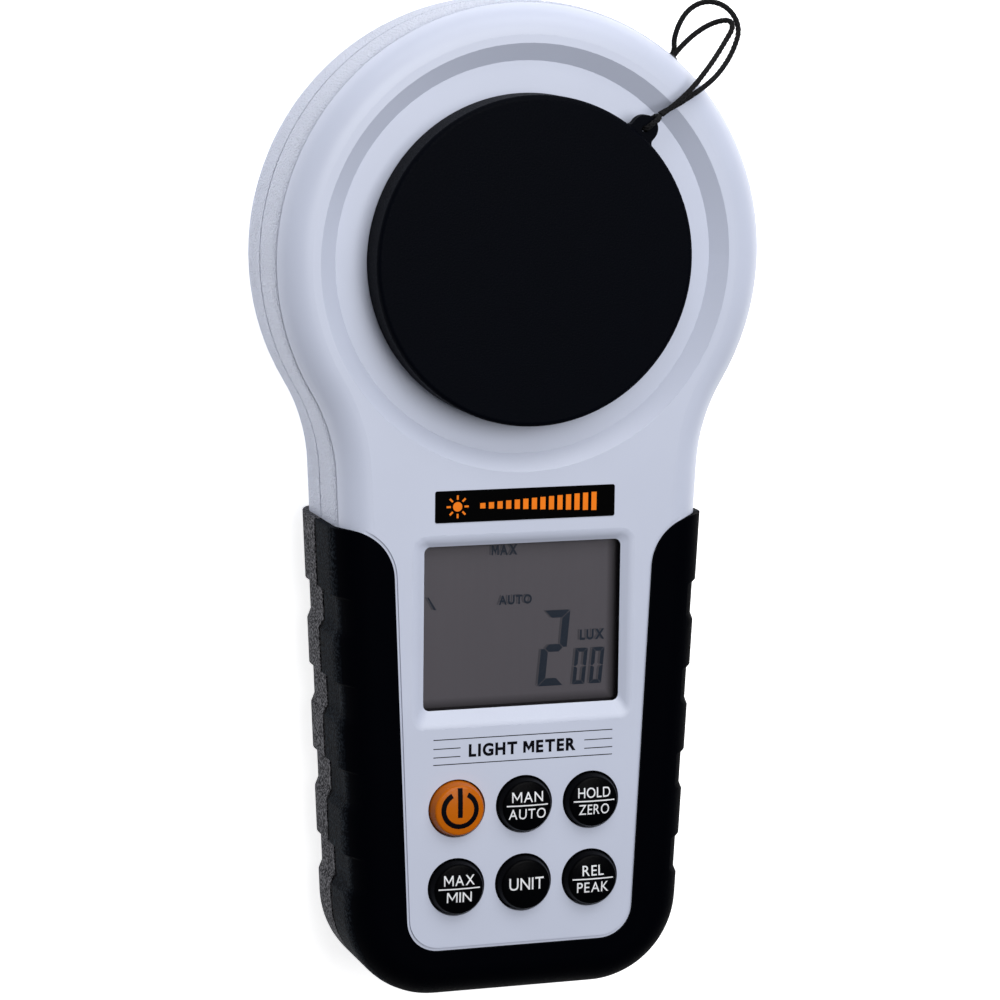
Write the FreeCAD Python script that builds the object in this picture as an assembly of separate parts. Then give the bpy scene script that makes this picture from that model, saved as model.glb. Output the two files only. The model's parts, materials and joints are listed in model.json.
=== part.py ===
import FreeCAD, Part
import math
import os

V = FreeCAD.Vector
UP = V(0, 0, 1)

# Handheld light meter lying on its back, in millimetres.
# +Z comes out of the front face, +Y points to the sensor head, +X is to the right seen from the front.
# The origin is under the middle of the body, on the plane that the back rests on.

# --- driving dimensions: overall form -------------------------------------------------
BODY_LENGTH = 183.9
HEAD_RADIUS = 46.4
HEAD_Y = BODY_LENGTH / 2 - HEAD_RADIUS
BASE_Y = -BODY_LENGTH / 2
FACE_Z = 33.0
PARTING_Z = 19.0
NECK_X = 35.0
NECK_Y = HEAD_Y - 42.0
NECK_RADIUS = 32.5
TAPER = math.radians(2.8)
CORNER_RADIUS = 15.7
FRONT_ROUND = 6.0
BACK_ROUND = 12.0
WALL = 2.4
BACK_WALL = 2.8
CAVITY_TOP = FACE_Z - WALL

# --- rubber grip ----------------------------------------------------------------------
GRIP_PROUD = 1.3
GRIP_FACE_PROUD = 0.4
GRIP_SEAT = 0.8
GRIP_SEAT_FACE = 1.2
GRIP_SEAT_BACK = 1.6
GRIP_TOP_Y = HEAD_Y - 48.3
PANEL_TOP_X = 25.3
PANEL_BOTTOM_X = 21.8
PANEL_BOTTOM_Y = HEAD_Y - 128.0
PANEL_TOP_ROUND = 9.5
PANEL_BOTTOM_ROUND = 6.3
NOTCH_FIRST_Y = HEAD_Y - 60.9
NOTCH_PITCH = 16.2
NOTCH_HEIGHT = 8.0
NOTCH_DEPTH = 1.0
NOTCH_FADE = 0.05
NOTCH_END = math.radians(62)
NOTCH_STEEP = 0.5
NOTCH_GENTLE = 1.7
NOTCH_COUNT = 4
SHELL_GROOVE = 0.7
SHELL_GROOVE_HEIGHT = 0.4
GRIP_GROOVE = 1.6
GRIP_GROOVE_HEIGHT = 0.7
RIM_GROOVE = 0.6
RIM_DEPTH = 0.3

# --- sensor head, radii from the head axis --------------------------------------------
DISH_Z = FACE_Z - 2.0
DISH_OUTER = 38.9
DISH_INNER = 35.7
FLOOR_Z = DISH_Z - 2.4
FLOOR_RADIUS = 42.0
OPENING_RADIUS = 25.5
CAP_RADIUS = 29.9
CAP_TOP_Z = DISH_Z + 7.1
CAP_WALL = 1.4
CAP_ROOF = 1.7
CAP_BOTTOM_Z = DISH_Z + 0.3
CAP_EDGE = 0.9
CAP_FIT = 0.08
LUG_ANGLE = math.radians(48.9)
LUG_DISTANCE = 31.3
LUG_RADIUS = 2.5
LUG_HOLE = 0.65
LUG_FILLET = 1.0
LUG_Z = (CAP_TOP_Z - 3.0, CAP_TOP_Z - 1.2)
BEZEL_RADIUS = CAP_RADIUS - CAP_WALL - CAP_FIT
BEZEL_LIP = 19.8
BEZEL_TOP_Z = DISH_Z + 2.2
SKIRT_RADII = (23.9, 25.45)
DOME_RADIUS = 19.6
DOME_TOP_Z = DISH_Z + 4.9
DOME_WALL = 1.5
FLANGE_RADIUS = 23.7
WELL_TOP_Z = DISH_Z - 1.4
BOARD_Z = (FACE_Z - 9.1, FACE_Z - 7.5)
FILTER_RADIUS = 9.0
FILTER_Z = (BOARD_Z[1] + 2.1, BOARD_Z[1] + 3.3)
DIODE_BORE = 7.2
DIODE_SIZE = 9.0
SENSOR_BOARD_RADIUS = 30.0
SENSOR_SCREW_CIRCLE = 27.2

# --- cap tether: points are (distance from the head axis, degrees from +X, height) -----
CORD_DIAMETER = 1.1
STRAND_PITCH = 1.2
EYE_ANGLE = math.radians(49.9)
EYE_Z = 24.3
EYE_RADIUS = 0.65
BEAD_RADIUS = 0.95
BEAD_LENGTH = 0.6
KNOT_BEND = 0.6
KNOT_TURN = math.radians(38.0)
INNER_STRAND = (
    (47.03, 49.9, 24.9), (48.1, 49.95, 24.93), (49.9, 49.95, 25.3), (52.2, 49.8, 26.0),
    (54.8, 49.3, 27.2), (56.8, 48.5, 28.8), (58.0, 47.5, 30.3), (57.2, 46.4, 31.3),
    (54.4, 46.1, 32.2), (50.1, 45.7, 33.6), (46.1, 45.7, 35.0), (42.3, 45.9, 36.2),
    (38.4, 46.6, 36.7), (35.3, 47.65, 36.65),
)
OUTER_STRAND = (
    (47.03, 49.9, 23.7), (47.85, 49.95, 23.72), (48.6, 50.6, 23.85), (49.5, 51.8, 24.15),
    (52.1, 53.1, 24.6), (54.8, 53.6, 25.4), (57.3, 52.9, 26.2), (59.0, 51.3, 27.0),
    (59.8, 49.1, 28.0), (59.4, 46.7, 29.0), (58.0, 44.7, 29.8), (55.4, 43.6, 30.8),
    (52.0, 42.8, 32.0), (48.4, 42.6, 33.2), (45.0, 43.2, 34.2), (41.8, 44.4, 35.1),
    (38.7, 45.6, 35.5), (35.3, 47.65, 35.45),
)

# --- name plate, display and keys -----------------------------------------------------
PLATE_HALF_X = 17.3
PLATE_Y = (HEAD_Y - 47.7, HEAD_Y - 41.8)
PLATE_RECESS = 0.3
PLATE_THICK = 0.45
WINDOW_HALF_X = 18.95
WINDOW_Y = (HEAD_Y - 82.7, HEAD_Y - 52.2)
WINDOW_Z = FACE_Z - 1.0
BEVEL_HALF_X = 20.8
BEVEL_ROUND = 2.6
BEVEL_Y = (HEAD_Y - 85.6, HEAD_Y - 50.8)
WINDOW_LAP = 1.5
WINDOW_THICK = 1.0
LCD_HALF_X = 21.4
LCD_LAP_Y = 1.8
LCD_THICK = 2.2
LCD_TOP_Z = CAVITY_TOP - 0.1
KEY_MIDDLE_X = 0.45
KEY_PITCH_X = 13.05
KEY_PITCH_Y = 14.9
KEY_ROW_Y = HEAD_Y - 101.1
KEY_BASE_RADIUS = 5.2
KEY_TOP_RADIUS = 4.5
KEY_HEIGHT = 2.2
KEY_EDGE = 0.5
KEY_GAP = 0.3
KEY_FLANGE_RADIUS = 6.0
KEY_FLANGE_Z = (CAVITY_TOP - 1.1, CAVITY_TOP - 0.3)
KEY_STEM_RADIUS = 1.8
KEY_STEM_Z = CAVITY_TOP - 1.8
KEY_TRAVEL = 0.8
MAT_HALF_X = 19.5
MAT_THICK = 1.0
MAT_DOME_RADIUS = 2.4
KEY_NAMES = (
    ("power_key", "range_key", "hold_key"),
    ("peak_key", "unit_key", "relative_key"),
)

# --- main board -----------------------------------------------------------------------
MAIN_HALF_X = 26.3
MAIN_Y = (HEAD_Y - 121.8, HEAD_Y - 47.1)
BOARD_SCREW_SPOTS = (
    (24.1, HEAD_Y - 49.9),
    (24.1, HEAD_Y - 88.0),
    (23.6, HEAD_Y - 118.6),
)
BOSS_RADIUS = 2.3
SMALL_SCREW = 1.0
SMALL_HEAD = 1.9
SMALL_HEAD_THICK = 1.2

# --- case screws and tripod insert ----------------------------------------------------
CASE_SCREW_SPOTS = (
    (30.7, HEAD_Y + 21.5),
    (27.0, HEAD_Y - 37.6),
    (17.0, HEAD_Y - 124.6),
)
COLUMN_RADIUS = 3.3
CASE_SCREW = 1.4
CASE_SCREW_HEAD = 2.6
CASE_SCREW_CLEAR = 1.55
COUNTERBORE = 2.9
COUNTERBORE_DEPTH = 4.0
CASE_HEAD_THICK = 2.0
FRONT_BOSS_RADIUS = 2.5
INSERT_Y = HEAD_Y - 43.0
INSERT_OUTER = 4.0
INSERT_BORE = 2.55
INSERT_LENGTH = 9.0
INSERT_BOSS = 6.0

# --- battery bay ----------------------------------------------------------------------
CELL_RADIUS = 5.25
CELL_LENGTH = 44.5
CELL_PITCH = 10.8
CELL_NUB = (1.9, 1.0)
BAY_HALF_X = 16.4
BAY_Y = (HEAD_Y - 112.2, HEAD_Y - 59.2)
BAY_ROOF_Z = 14.0
BAY_WALL = 1.4
PAD_Z = 3.6
LEDGE_Z = 2.1
DOOR_HALF_X = 18.0
DOOR_Y = (HEAD_Y - 121.2, HEAD_Y - 56.6)
DOOR_Z = (0.3, 1.9)
DOOR_GAP = 0.35
HINGE_PIN = 0.6
HINGE_PIN_CLEAR = 0.68
HINGE_PIN_OUT = 1.2
DOOR_SCREW_Y = HEAD_Y - 117.2
DOOR_SCREW = 1.2
DOOR_SCREW_HEAD = 2.6
DOOR_SCREW_TIP_Z = 6.5
DOOR_SCREW_CLEAR = 1.75
SPRING_WIRE = 0.35
SPRING_SIDES = 12
SPRING_RADIUS = 3.0
SPRING_TURNS = 4.5
CONTACT_HALF = 4.0
CONTACT_THICK = 0.4


def cylinder(radius, x, y, z_low, z_high):
    return Part.makeCylinder(radius, z_high - z_low, V(x, y, z_low), UP)


def box(x_low, x_high, y_low, y_high, z_low, z_high):
    return Part.makeBox(x_high - x_low, y_high - y_low, z_high - z_low, V(x_low, y_low, z_low))


def slab(z_low, z_high):
    return box(-80, 80, -130, 130, z_low, z_high)


def fuse(shapes):
    return shapes[0].multiFuse(shapes[1:]).removeSplitter()


def mirrored_spots(spots):
    return [(side * x, y) for x, y in spots for side in (1, -1)]


def rounded_wire(corners, radii, z):
    """Closed outline through the corners, each rounded by its own tangent arc."""
    edges = []
    starts = []
    ends = []
    count = len(corners)
    for i in range(count):
        here = V(corners[i][0], corners[i][1], z)
        before = V(corners[i - 1][0], corners[i - 1][1], z)
        after = V(corners[(i + 1) % count][0], corners[(i + 1) % count][1], z)
        back = (before - here).normalize()
        ahead = (after - here).normalize()
        half = back.getAngle(ahead) / 2
        cut = radii[i] / math.tan(half)
        starts.append(here + back * cut)
        ends.append(here + ahead * cut)
        if radii[i] > 0:
            middle_way = (back + ahead).normalize()
            middle = here + middle_way * (radii[i] / math.sin(half) - radii[i])
            edges.append(Part.Arc(starts[i], middle, ends[i]).toShape())
    for i in range(count):
        edges.append(Part.makeLine(ends[i], starts[(i + 1) % count]))
    return Part.Wire(Part.__sortEdges__(edges))


def prism(wire, height):
    return Part.Face(wire).extrude(V(0, 0, height))


def rounded_plate(half_x, y_span, z_low, z_high, radius):
    corners = [(-half_x, y_span[0]), (half_x, y_span[0]), (half_x, y_span[1]), (-half_x, y_span[1])]
    return prism(rounded_wire(corners, [radius] * 4, z_low), z_high - z_low)


def turned(profile, y=HEAD_Y):
    """Solid of revolution about the upright axis through (0, y); profile is a list of (radius, z)."""
    points = [V(radius, y, z) for radius, z in profile]
    face = Part.Face(Part.makePolygon(points + points[:1]))
    return face.revolve(V(0, y, 0), UP, 360)


# --- body outline ---------------------------------------------------------------------

def body_outline(grow, z):
    """Head circle, concave neck, tapering handle and round base corners, offset by grow."""
    out_way = V(math.cos(TAPER), -math.sin(TAPER), 0)
    up_way = V(math.sin(TAPER), math.cos(TAPER), 0)
    head = V(0, HEAD_Y, 0)
    side = V(NECK_X, NECK_Y, 0)
    # centre of the neck's concave arc: NECK_RADIUS off the side line, tangent to the head circle
    offset = side + out_way * NECK_RADIUS - head
    reach = HEAD_RADIUS + NECK_RADIUS
    along = offset.dot(up_way)
    neck = head + offset + up_way * (-along - math.sqrt(along ** 2 - offset.dot(offset) + reach ** 2))
    if neck.y > head.y:
        raise ValueError("the neck arc has to lie below the head")
    # centre of the base corner arc
    corner_y = BASE_Y + GRIP_PROUD + CORNER_RADIUS
    corner_x = side.x + (-CORNER_RADIUS + (corner_y - side.y) * math.sin(TAPER)) / math.cos(TAPER)
    corner = V(corner_x, corner_y, 0)
    lift = V(0, 0, z)
    on_head = head + (neck - head).normalize() * (HEAD_RADIUS + grow)
    neck_low = neck - out_way * (NECK_RADIUS - grow)
    neck_mid_way = ((on_head - neck).normalize() + (neck_low - neck).normalize()).normalize()
    neck_mid = neck + neck_mid_way * (NECK_RADIUS - grow)
    corner_top = corner + out_way * (CORNER_RADIUS + grow)
    corner_low = corner + V(0, -(CORNER_RADIUS + grow), 0)
    corner_mid_way = (out_way + V(0, -1, 0)).normalize()
    corner_mid = corner + corner_mid_way * (CORNER_RADIUS + grow)
    right = [p + lift for p in (on_head, neck_mid, neck_low, corner_top, corner_mid, corner_low)]
    left = [V(-p.x, p.y, p.z) for p in right]
    top = V(0, HEAD_Y + HEAD_RADIUS + grow, z)
    edges = [Part.Arc(right[0], top, left[0]).toShape()]
    for run in (right, left):
        edges.append(Part.Arc(run[0], run[1], run[2]).toShape())
        edges.append(Part.makeLine(run[2], run[3]))
        edges.append(Part.Arc(run[3], run[4], run[5]).toShape())
    edges.append(Part.makeLine(right[5], left[5]))
    return Part.Wire(Part.__sortEdges__(edges))


def envelope(grow, z_low, z_high, back_round, front_round):
    """The body outline as a solid with round back and front edges."""
    solid = prism(body_outline(grow, z_low), z_high - z_low)
    for level, radius in ((z_low, back_round), (z_high, front_round)):
        rim = [e for e in solid.Edges
               if abs(e.BoundBox.ZMin - level) < 1e-4 and abs(e.BoundBox.ZMax - level) < 1e-4]
        solid = solid.makeFillet(radius, rim)
    return solid


def grip_zone(inset=0.0):
    """Everything outside the white front panel, as a tall prism; inset moves its edge onto the panel."""
    far = 70.0
    corners = [
        (far, GRIP_TOP_Y + inset),
        (PANEL_TOP_X - inset, GRIP_TOP_Y + inset),
        (PANEL_BOTTOM_X - inset, PANEL_BOTTOM_Y + inset),
        (-(PANEL_BOTTOM_X - inset), PANEL_BOTTOM_Y + inset),
        (-(PANEL_TOP_X - inset), GRIP_TOP_Y + inset),
        (-far, GRIP_TOP_Y + inset),
        (-far, BASE_Y - 20),
        (far, BASE_Y - 20),
    ]
    radii = [0, PANEL_TOP_ROUND + inset, PANEL_BOTTOM_ROUND - inset,
             PANEL_BOTTOM_ROUND - inset, PANEL_TOP_ROUND + inset, 0, 0, 0]
    return prism(rounded_wire(corners, radii, -10), FACE_Z + 20)


def grip_half_width(y):
    return NECK_X + GRIP_PROUD / math.cos(TAPER) + (y - NECK_Y) * math.tan(TAPER)


def corner_arc(start, wide, level, radius, depth, rise):
    """Arc round a corner: depth below the skin at the side, just above it at NOTCH_END towards a face."""
    clear = max(NOTCH_FADE, -depth)
    half = NOTCH_END / 2
    tip = radius + clear
    middle = radius + (clear - depth) / 2
    points = [V(wide - depth, start, level)]
    points.append(V(wide - radius + middle * math.cos(half), start, level + rise * middle * math.sin(half)))
    points.append(V(wide - radius + tip * math.cos(NOTCH_END), start,
                    level + rise * tip * math.sin(NOTCH_END)))
    return points


def notch_section(y, depth):
    """Closed outline across the grip at y, open to the outside, depth below the rubber's side."""
    face = FACE_Z + GRIP_FACE_PROUD
    wide = grip_half_width(y)
    round_front = FRONT_ROUND + GRIP_FACE_PROUD
    front = corner_arc(y, wide, face - round_front, round_front, depth, 1)
    back = corner_arc(y, wide, BACK_ROUND, BACK_ROUND, depth, -1)
    rim = [front[2], V(front[2].x, y, face + 4), V(wide + 6, y, face + 4), V(wide + 6, y, -4),
           V(back[2].x, y, -4), back[2]]
    edges = [Part.makeLine(p, q) for p, q in zip(rim, rim[1:])]
    edges += [Part.Arc(*back).toShape(), Part.makeLine(back[0], front[0]), Part.Arc(*front).toShape()]
    return Part.Wire(Part.__sortEdges__(edges))


def grip_notches():
    """Finger recesses round both sides of the grip: a steep upper end and a gentle lower one."""
    over = 0.2
    cutters = []
    for row in range(NOTCH_COUNT):
        top = NOTCH_FIRST_Y - row * NOTCH_PITCH
        low = top - NOTCH_HEIGHT
        stations = ((top + over, -over), (top - NOTCH_STEEP, NOTCH_DEPTH),
                    (low + NOTCH_GENTLE, NOTCH_DEPTH), (low - over, -over))
        wires = [notch_section(y, depth) for y, depth in stations]
        right = Part.makeLoft(wires, True, True)
        cutters.append(right)
        cutters.append(right.mirror(V(0, 0, 0), V(1, 0, 0)))
    return cutters


# --- housings and grip ----------------------------------------------------------------

def make_shells():
    """White front and rear housings and the rubber overmoulds that sit in their recesses."""
    skin = envelope(0, 0, FACE_Z, BACK_ROUND, FRONT_ROUND)
    rubber = envelope(GRIP_PROUD, 0, FACE_Z + GRIP_FACE_PROUD, BACK_ROUND, FRONT_ROUND + GRIP_FACE_PROUD)
    core = envelope(-GRIP_SEAT, GRIP_SEAT_BACK, FACE_Z - GRIP_SEAT_FACE,
                    BACK_ROUND - GRIP_SEAT_BACK, FRONT_ROUND - GRIP_SEAT_FACE)
    cavity = envelope(-WALL, BACK_WALL, CAVITY_TOP, BACK_ROUND - BACK_WALL, FRONT_ROUND - WALL)
    zone = grip_zone()
    seat = zone.cut(core)
    shell = skin.cut(seat)
    grip = rubber.common(zone).cut(core).cut(fuse_all(grip_notches()))
    above = slab(PARTING_Z, FACE_Z + 10)
    below = slab(-10, PARTING_Z)
    hollow = shell.cut(cavity)
    front = make_front_housing(hollow.common(above))
    rear = make_rear_housing(hollow.common(below), shell)
    rear_grip = grip.common(below).cut(split_groove(GRIP_PROUD, GRIP_GROOVE, GRIP_GROOVE_HEIGHT))
    return front, rear, grip.common(above), rear_grip


def fuse_all(shapes):
    return Part.makeCompound(shapes)


def split_groove(grow, depth, height):
    """Shadow line along the joint between the housings, cut into the rear one."""
    z_low = PARTING_Z - height
    core = prism(body_outline(grow - depth, z_low - 1), height + 2)
    return slab(z_low, PARTING_Z + 1).cut(core)


def display_bevel():
    """Sloping frame from the face down to the display window."""
    def frame(half_x, y_span, z, radius):
        corners = [(-half_x, y_span[0]), (half_x, y_span[0]), (half_x, y_span[1]), (-half_x, y_span[1])]
        return rounded_wire(corners, [radius] * 4, z)
    low = frame(WINDOW_HALF_X, WINDOW_Y, WINDOW_Z, 1.2)
    high = frame(BEVEL_HALF_X, BEVEL_Y, FACE_Z, 1.6)
    return Part.makeLoft([low, high], True, True)


def key_spots():
    spots = {}
    for row in range(2):
        for column in range(3):
            name = KEY_NAMES[row][column]
            spots[name] = (KEY_MIDDLE_X + (column - 1) * KEY_PITCH_X, KEY_ROW_Y - row * KEY_PITCH_Y)
    return spots


def sensor_screw_spots():
    spots = []
    for angle in (90, 210, 330):
        turn = math.radians(angle)
        spots.append((SENSOR_SCREW_CIRCLE * math.cos(turn), HEAD_Y + SENSOR_SCREW_CIRCLE * math.sin(turn)))
    return spots


def make_front_housing(shell):
    floor = cylinder(FLOOR_RADIUS, 0, HEAD_Y, FLOOR_Z, DISH_Z)
    bosses = [floor]
    holes = []
    for x, y in mirrored_spots(BOARD_SCREW_SPOTS):
        bosses.append(cylinder(BOSS_RADIUS, x, y, BOARD_Z[1], CAVITY_TOP + 0.2))
        holes.append(cylinder(SMALL_SCREW, x, y, BOARD_Z[1] - 1, CAVITY_TOP - 0.6))
    for x, y in sensor_screw_spots():
        bosses.append(cylinder(BOSS_RADIUS, x, y, BOARD_Z[1], FLOOR_Z + 0.2))
        holes.append(cylinder(SMALL_SCREW, x, y, BOARD_Z[1] - 1, FLOOR_Z + 0.8))
    for x, y in mirrored_spots(CASE_SCREW_SPOTS):
        top = FLOOR_Z + 0.2 if y > HEAD_Y else CAVITY_TOP + 0.2
        bosses.append(cylinder(FRONT_BOSS_RADIUS, x, y, PARTING_Z, top))
        holes.append(cylinder(CASE_SCREW, x, y, PARTING_Z - 1, PARTING_Z + 6))
    boss, slot = cord_eye()
    bosses.append(boss)
    holes.append(slot)
    body = fuse([shell] + bosses)
    dish = turned([(0, DISH_Z), (DISH_INNER, DISH_Z), (DISH_OUTER, FACE_Z), (DISH_OUTER, FACE_Z + 5),
                   (0, FACE_Z + 5)])
    window = rounded_plate(WINDOW_HALF_X, WINDOW_Y, CAVITY_TOP - 1, WINDOW_Z, 1.2)
    lap_y = (WINDOW_Y[0] - WINDOW_LAP, WINDOW_Y[1] + WINDOW_LAP)
    rebate = rounded_plate(WINDOW_HALF_X + WINDOW_LAP, lap_y, CAVITY_TOP - 1, WINDOW_Z, 1.5)
    label = rounded_plate(PLATE_HALF_X, PLATE_Y, FACE_Z - PLATE_RECESS, FACE_Z + 1, 0.4)
    rim = grip_zone(RIM_GROOVE).cut(grip_zone()).common(slab(FACE_Z - RIM_DEPTH, FACE_Z + 1))
    holes += [dish, window, rebate, label, rim, display_bevel(),
              cylinder(OPENING_RADIUS, 0, HEAD_Y, FLOOR_Z - 1, DISH_Z + 1)]
    for x, y in key_spots().values():
        holes.append(cylinder(KEY_BASE_RADIUS + KEY_GAP, x, y, CAVITY_TOP - 1, FACE_Z + 1))
    for hole in holes:
        body = body.cut(hole)
    body = body.removeSplitter()
    return body.makeFillet(BEVEL_ROUND, [e for e in body.Edges if on_display_rim(e)])


def on_display_rim(edge):
    """True for the edges where the display's sloping frame meets the face."""
    bounds = edge.BoundBox
    level = abs(bounds.ZMin - FACE_Z) < 1e-3 and bounds.ZLength < 1e-3
    inside = abs(bounds.XMin) < BEVEL_HALF_X + 0.1 and abs(bounds.XMax) < BEVEL_HALF_X + 0.1
    return level and inside and bounds.YMin > BEVEL_Y[0] - 0.1 and bounds.YMax < BEVEL_Y[1] + 0.1


def make_rear_housing(shell, limit):
    """Lower shell; limit is the solid housing that its columns must stay inside."""
    columns = []
    holes = [split_groove(0, SHELL_GROOVE, SHELL_GROOVE_HEIGHT)]
    for x, y in mirrored_spots(CASE_SCREW_SPOTS):
        columns.append(cylinder(COLUMN_RADIUS, x, y, BACK_WALL - 0.8, PARTING_Z))
        holes.append(cylinder(COUNTERBORE, x, y, -5, COUNTERBORE_DEPTH))
        holes.append(cylinder(CASE_SCREW_CLEAR, x, y, COUNTERBORE_DEPTH - 1, PARTING_Z + 1))
        columns.append(cylinder(COLUMN_RADIUS + 1.2, x, y, BACK_WALL - 0.8, COUNTERBORE_DEPTH + 1.6))
    columns.append(cylinder(INSERT_BOSS, 0, INSERT_Y, BACK_WALL - 0.5, INSERT_LENGTH + 1.2))
    holes.append(cylinder(INSERT_OUTER, 0, INSERT_Y, -1, INSERT_LENGTH))
    pad_y = (DOOR_Y[0] - 3.0, DOOR_Y[1] + 3.0)
    columns.append(box(-DOOR_HALF_X - 3, DOOR_HALF_X + 3, pad_y[0], pad_y[1], BACK_WALL - 0.5, PAD_Z))
    columns.append(cylinder(3.6, 0, DOOR_SCREW_Y, PAD_Z - 0.5, 8.0))
    holes.append(cylinder(DOOR_SCREW_CLEAR, 0, DOOR_SCREW_Y, -1, 9.0))
    door_y = (DOOR_Y[0] - DOOR_GAP, DOOR_Y[1] + DOOR_GAP)
    holes.append(rounded_plate(DOOR_HALF_X + DOOR_GAP, door_y, -1, LEDGE_Z, 1.2))
    holes.append(rounded_plate(BAY_HALF_X, BAY_Y, -1, PAD_Z + 1, 1.0))
    pin_half = DOOR_HALF_X + HINGE_PIN_OUT + 0.3
    axis = hinge_axis()
    holes.append(Part.makeCylinder(HINGE_PIN_CLEAR, 2 * pin_half, V(-pin_half, axis.y, axis.z), V(1, 0, 0)))
    inner = [column.common(limit) for column in columns]
    body = fuse([shell] + inner)
    for hole in holes:
        body = body.cut(hole)
    return body.removeSplitter()


# --- cap tether: eye in the front housing's side ---------------------------------------

def radial(angle, distance, z):
    return V(distance * math.cos(angle), HEAD_Y + distance * math.sin(angle), z)


def upright_slot(radius, distance, length):
    """Bar with a tall round-ended section, lying along the eye's axis from this distance outwards."""
    way = V(math.cos(EYE_ANGLE), math.sin(EYE_ANGLE), 0)
    half = STRAND_PITCH / 2
    web = Part.makeBox(length, 2 * radius, 2 * half, V(0, -radius, -half))
    web.rotate(V(0, 0, 0), UP, math.degrees(EYE_ANGLE))
    web.translate(radial(EYE_ANGLE, distance, EYE_Z))
    ends = [Part.makeCylinder(radius, length, radial(EYE_ANGLE, distance, EYE_Z + side * half), way)
            for side in (-1, 1)]
    return fuse([web] + ends)


def cord_eye():
    """Thickened wall and the slot that the tether's end goes into."""
    way = V(math.cos(EYE_ANGLE), math.sin(EYE_ANGLE), 0)
    boss = Part.makeCylinder(2.4, 4.5, radial(EYE_ANGLE, HEAD_RADIUS - 6.0, EYE_Z), way)
    return boss, upright_slot(EYE_RADIUS, HEAD_RADIUS - 3.5, 4.0)


def make_cord_bead():
    stem = upright_slot(EYE_RADIUS - 0.05, HEAD_RADIUS - 3.0, 3.0)
    bead = upright_slot(BEAD_RADIUS, HEAD_RADIUS, BEAD_LENGTH)
    return fuse([stem, bead])


def tube(path, name):
    """Round cord swept along a wire; its volume is printed beside section times length."""
    start = path.OrderedEdges[0]
    section = Part.makeCircle(CORD_DIAMETER / 2, start.valueAt(start.FirstParameter),
                              start.tangentAt(start.FirstParameter))
    cord = path.makePipeShell([Part.Wire(section)], True, False)
    area = math.pi * CORD_DIAMETER ** 2 / 4
    print(name, "length", round(path.Length, 2), "volume", round(cord.Volume, 2),
          "section x length", round(area * path.Length, 2))
    return cord


def make_strand(route, name):
    """Straight runs joined by tangent arcs, each as large as its two runs allow."""
    points = [radial(math.radians(degrees), distance, z) for distance, degrees, z in route]
    edges = []
    radii = []
    last = points[0]
    for i in range(1, len(points) - 1):
        back = points[i - 1] - points[i]
        ahead = points[i + 1] - points[i]
        shorter = min(back.Length, ahead.Length)
        half_turn = (math.pi - back.getAngle(ahead)) / 2
        radius = 0.45 * shorter / math.tan(half_turn)
        radii.append(round(radius, 1))
        back.normalize()
        ahead.normalize()
        start = points[i] + back * 0.45 * shorter
        end = points[i] + ahead * 0.45 * shorter
        inward = (back + ahead).normalize()
        middle = points[i] + inward * (radius / math.cos(half_turn) - radius)
        edges.append(Part.LineSegment(last, start).toShape())
        edges.append(Part.Arc(start, middle, end).toShape())
        last = end
    edges.append(Part.LineSegment(last, points[-1]).toShape())
    print(name, "bend radii", radii)
    return tube(Part.Wire(edges), name)


def make_cord_knot():
    """Loop of the tether through the lug's hole and round its rim, turned towards the strands."""
    hole = radial(LUG_ANGLE, LUG_DISTANCE, 0)
    way = V(math.cos(KNOT_TURN), math.sin(KNOT_TURN), 0)
    outer = LUG_RADIUS + KNOT_BEND
    low = LUG_Z[0] - KNOT_BEND
    high = LUG_Z[1] + KNOT_BEND
    slope = KNOT_BEND * (1 - math.sqrt(0.5))
    corners = ((0, low, 1, 1), (outer, low, -1, 1), (outer, high, -1, -1), (0, high, 1, -1))
    arcs = []
    for reach, z, side, rise in corners:
        first = hole + way * reach + UP * (z + rise * KNOT_BEND)
        middle = hole + way * (reach + side * slope) + UP * (z + rise * slope)
        second = hole + way * (reach + side * KNOT_BEND) + UP * z
        arcs.append((first, middle, second))
    edges = [Part.Arc(*arc).toShape() for arc in arcs]
    edges.append(Part.makeLine(arcs[0][2], arcs[1][2]))
    edges.append(Part.makeLine(arcs[1][0], arcs[2][0]))
    edges.append(Part.makeLine(arcs[2][2], arcs[3][2]))
    edges.append(Part.makeLine(arcs[3][0], arcs[0][0]))
    return tube(Part.Wire(Part.__sortEdges__(edges)), "cap_cord_knot")


# --- sensor ---------------------------------------------------------------------------

def beside_neck(edge, centre):
    """True for the two upright edges where the lug's neck leaves the cap."""
    bounds = edge.BoundBox
    upright = bounds.XLength < 1e-3 and bounds.YLength < 1e-3
    outside = math.hypot(bounds.XMin, bounds.YMin - HEAD_Y) > CAP_RADIUS - 0.5
    flat = V(bounds.XMin, bounds.YMin, centre.z)
    return upright and outside and (flat - centre).Length > LUG_RADIUS + 0.1


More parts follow.
